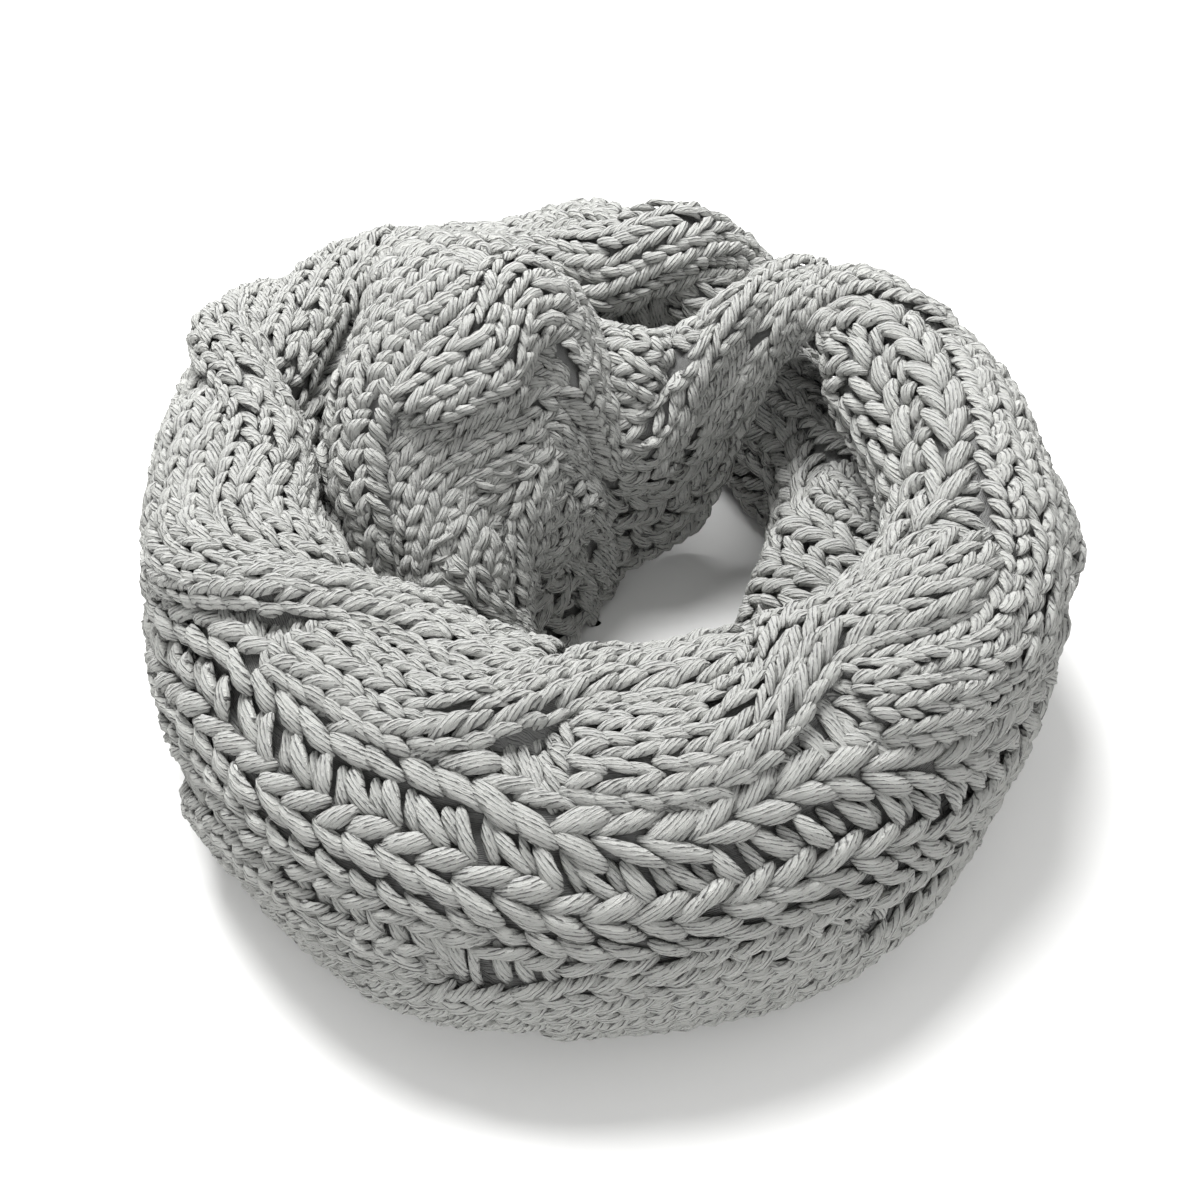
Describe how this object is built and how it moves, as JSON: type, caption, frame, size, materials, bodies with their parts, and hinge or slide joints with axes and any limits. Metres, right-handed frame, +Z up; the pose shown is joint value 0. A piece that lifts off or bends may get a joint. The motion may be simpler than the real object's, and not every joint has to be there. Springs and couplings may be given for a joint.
{
  "type": "infinity scarf",
  "caption": "Chunky cable-knit loop scarf wound double into a soft ring, with rope cables, deep ribs and an open neck hole, lying by itself on a surface.",
  "frame": {"origin": "on the resting surface, under the middle of the ring's box", "axes": "+Z up, +X to the wearer's side seen on the right in the picture, +Y away from the picture's camera"},
  "size_m": [0.3178, 0.328, 0.1348],
  "materials": {
    "marl_knit": "matte chunky acrylic and wool yarn, light grey marl"
  },
  "bodies": {
    "root": {"left_outer": "marl_knit", "front_outer": "marl_knit", "right_outer": "marl_knit", "back_over": "marl_knit", "left_over": "marl_knit", "front_inner": "marl_knit", "right_inner": "marl_knit", "back_under": "marl_knit"}
  },
  "joints": []
}
